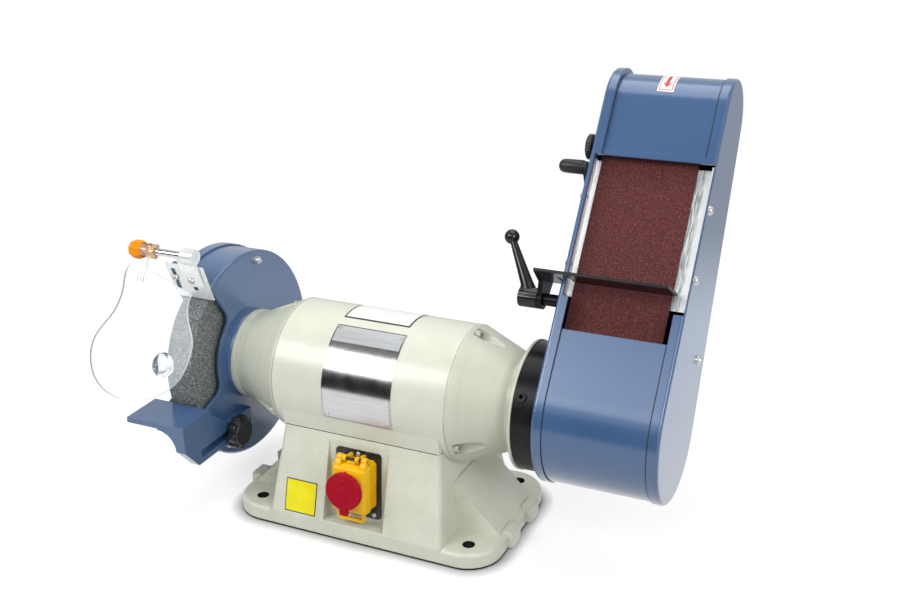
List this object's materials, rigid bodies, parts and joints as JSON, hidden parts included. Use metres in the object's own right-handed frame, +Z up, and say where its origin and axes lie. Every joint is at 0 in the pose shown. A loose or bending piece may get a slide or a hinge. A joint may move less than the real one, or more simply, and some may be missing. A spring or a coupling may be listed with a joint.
{
  "type": "combination belt sander and bench grinder",
  "caption": "Bench machine with a guarded grinding wheel on one end of the motor and a tilting belt sanding arm on the other.",
  "frame": {"origin": "on the bench under the middle of the base, at the centre of the four bench bolt holes", "axes": "+X along the motor shaft towards the belt arm, -Y out of the front where the switch is, +Z up"},
  "size_m": [0.6261, 0.3669, 0.4766],
  "materials": {
    "cast_paint": "pebbled light grey paint on castings",
    "motor_paint": "cast alloy under smooth light grey paint",
    "blue_paint": "smooth blue paint",
    "black_paint": "satin black paint",
    "bright_steel": "machined or zinc plated steel",
    "galvanised": "zinc coated sheet",
    "chrome_rod": "bright plating",
    "sheet_alloy": "satin alloy sheet",
    "cast_alloy": "turned cast alloy",
    "iron": "stacked iron sheet",
    "copper": "varnished winding",
    "abrasive_stone": "open grit bonded with clay",
    "abrasive_cloth": "grit on cloth",
    "black_plastic": "moulded, fine grain",
    "grey_plastic": "moulded can",
    "yellow_plastic": "moulded",
    "red_plastic": "moulded",
    "green_plastic": "moulded",
    "orange_plastic": "moulded",
    "clear_plastic": "clear sheet",
    "grip_rubber": "moulded sleeve"
  },
  "bodies": {
    "machine": {"base_casting": "cast_paint", "base_bottom_cover": "galvanised", "cable_gland": "black_plastic", "motor_housing": "motor_paint", "left_end_bell": "motor_paint", "right_end_bell": "motor_paint", "casting_screws": "bright_steel", "panel_screws": "bright_steel", "stator_core": "iron", "stator_winding": "copper", "motor_bearings": "bright_steel", "capacitor": "grey_plastic", "name_plate": "sheet_alloy", "name_plate_rivets": "bright_steel", "switch_plate": "black_plastic", "switch_body": "black_plastic", "switch_box": "yellow_plastic", "lid_hinge_pin": "bright_steel", "wheel_guard": "blue_paint", "guard_cover": "blue_paint", "guard_bolts": "bright_steel", "shield_bracket": "galvanised", "shield_rod": "chrome_rod", "shield_nut": "orange_plastic", "tool_rest_bolt": "bright_steel"},
    "rotor": {"rotor_shaft": "bright_steel", "rotor_core": "iron", "grinding_wheel": "abrasive_stone", "wheel_flanges": "bright_steel", "shaft_nuts": "bright_steel", "drive_drum": "cast_alloy"},
    "arm": {"clamp_collar": "black_paint", "collar_set_screw": "black_paint", "arm_side_plate": "blue_paint", "lower_cover": "blue_paint", "upper_cover": "blue_paint", "rear_cover": "blue_paint", "side_door": "blue_paint", "cover_screws": "bright_steel", "sanding_belt": "abrasive_cloth", "platen": "galvanised", "rest_rod": "black_paint"},
    "idler_carriage": {"idler_slide": "bright_steel", "tension_spring": "bright_steel"},
    "idler": {"idler_roller": "cast_alloy", "idler_bearings": "bright_steel"},
    "tension": {"tension_lever": "black_paint", "tension_grip": "grip_rubber"},
    "tracking": {"tracking_knob": "black_plastic"},
    "work_table": {"work_rest": "black_paint"},
    "rest_clamp": {"clamp_lever": "black_plastic"},
    "tool_table": {"tool_rest": "blue_paint"},
    "tool_knob": {"tool_rest_knob": "black_plastic"},
    "spark_guard": {"spark_plate": "galvanised"},
    "shield": {"eye_shield": "clear_plastic"},
    "shield_clamp": {"shield_knob": "orange_plastic"},
    "lid": {"switch_lid": "yellow_plastic"},
    "paddle": {"stop_paddle": "red_plastic"},
    "stop": {"stop_button": "red_plastic"},
    "start": {"start_button": "green_plastic"}
  },
  "joints": [
    {"name": "rotor_spin", "type": "hinge", "parent": "machine", "child": "rotor", "pos_m": [0, 0, 0.157], "axis": [1, 0, 0], "continuous": true},
    {"name": "arm_tilt", "type": "hinge", "parent": "machine", "child": "arm", "pos_m": [0.18, 0, 0.157], "axis": [-1, 0, 0], "range_deg": [-32, 58]},
    {"name": "idler_tension", "type": "slide", "parent": "arm", "child": "idler_carriage", "axis": [0, 0.531, 0.8474], "range_m": [-0.008, 0], "stiffness_N_per_m": 5000, "springref_m": 0.012},
    {"name": "tension_swing", "type": "hinge", "parent": "arm", "child": "tension", "pos_m": [0.189, 0.10813, 0.35595], "axis": [1, 0, 0], "range_deg": [0, 70]},
    {"name": "idler_spin", "type": "hinge", "parent": "idler_carriage", "child": "idler", "pos_m": [0.253, 0.17065, 0.42935], "axis": [1, 0, 0], "continuous": true},
    {"name": "tracking_turn", "type": "hinge", "parent": "arm", "child": "tracking", "pos_m": [0.19, 0.11089, 0.40555], "axis": [1, 0, 0], "range_deg": [-180, 180]},
    {"name": "work_rest_tilt", "type": "hinge", "parent": "arm", "child": "work_table", "pos_m": [0.173, 0.01486, 0.26924], "axis": [1, 0, 0], "range_deg": [0, 45]},
    {"name": "clamp_turn", "type": "hinge", "parent": "arm", "child": "rest_clamp", "pos_m": [0.16, 0.01486, 0.26924], "axis": [1, 0, 0], "range_deg": [-45, 45]},
    {"name": "tool_rest_slide", "type": "slide", "parent": "machine", "child": "tool_table", "axis": [0, -1, 0], "range_m": [0, 0.02]},
    {"name": "tool_knob_turn", "type": "hinge", "parent": "machine", "child": "tool_knob", "pos_m": [-0.16, -0.0625, 0.088], "axis": [1, 0, 0], "range_deg": [-180, 180]},
    {"name": "spark_guard_slide", "type": "slide", "parent": "machine", "child": "spark_guard", "axis": [0, -0.342, 0.9397], "range_m": [0, 0.004]},
    {"name": "shield_flip", "type": "hinge", "parent": "machine", "child": "shield", "pos_m": [-0.25, -0.07684, 0.2968], "axis": [-1, 0, 0], "range_deg": [0, 100]},
    {"name": "shield_knob_turn", "type": "hinge", "parent": "shield", "child": "shield_clamp", "pos_m": [-0.25, -0.07684, 0.2968], "axis": [1, 0, 0], "range_deg": [-180, 180]},
    {"name": "lid_swing", "type": "hinge", "parent": "machine", "child": "lid", "pos_m": [0, -0.08637, 0.09984], "axis": [-1, 0, 0], "range_deg": [0, 110]},
    {"name": "paddle_press", "type": "slide", "parent": "lid", "child": "paddle", "axis": [0, 0.9962, -0.0872], "range_m": [0, 0.004], "stiffness_N_per_m": 400, "springref_m": -0.002},
    {"name": "stop_press", "type": "slide", "parent": "machine", "child": "stop", "axis": [0, 0.9962, -0.0872], "range_m": [0, 0.004]},
    {"name": "start_press", "type": "slide", "parent": "machine", "child": "start", "axis": [0, 0.9962, -0.0872], "range_m": [0, 0.003], "stiffness_N_per_m": 300, "springref_m": -0.002}
  ],
  "couplings": [
    {"joint": "idler_spin", "follows": "rotor_spin", "ratio": 1.9123},
    {"joint": "tension_swing", "follows": "idler_tension", "rad_per_m": -152.7},
    {"joint": "stop_press", "follows": "paddle_press", "ratio": 1}
  ]
}
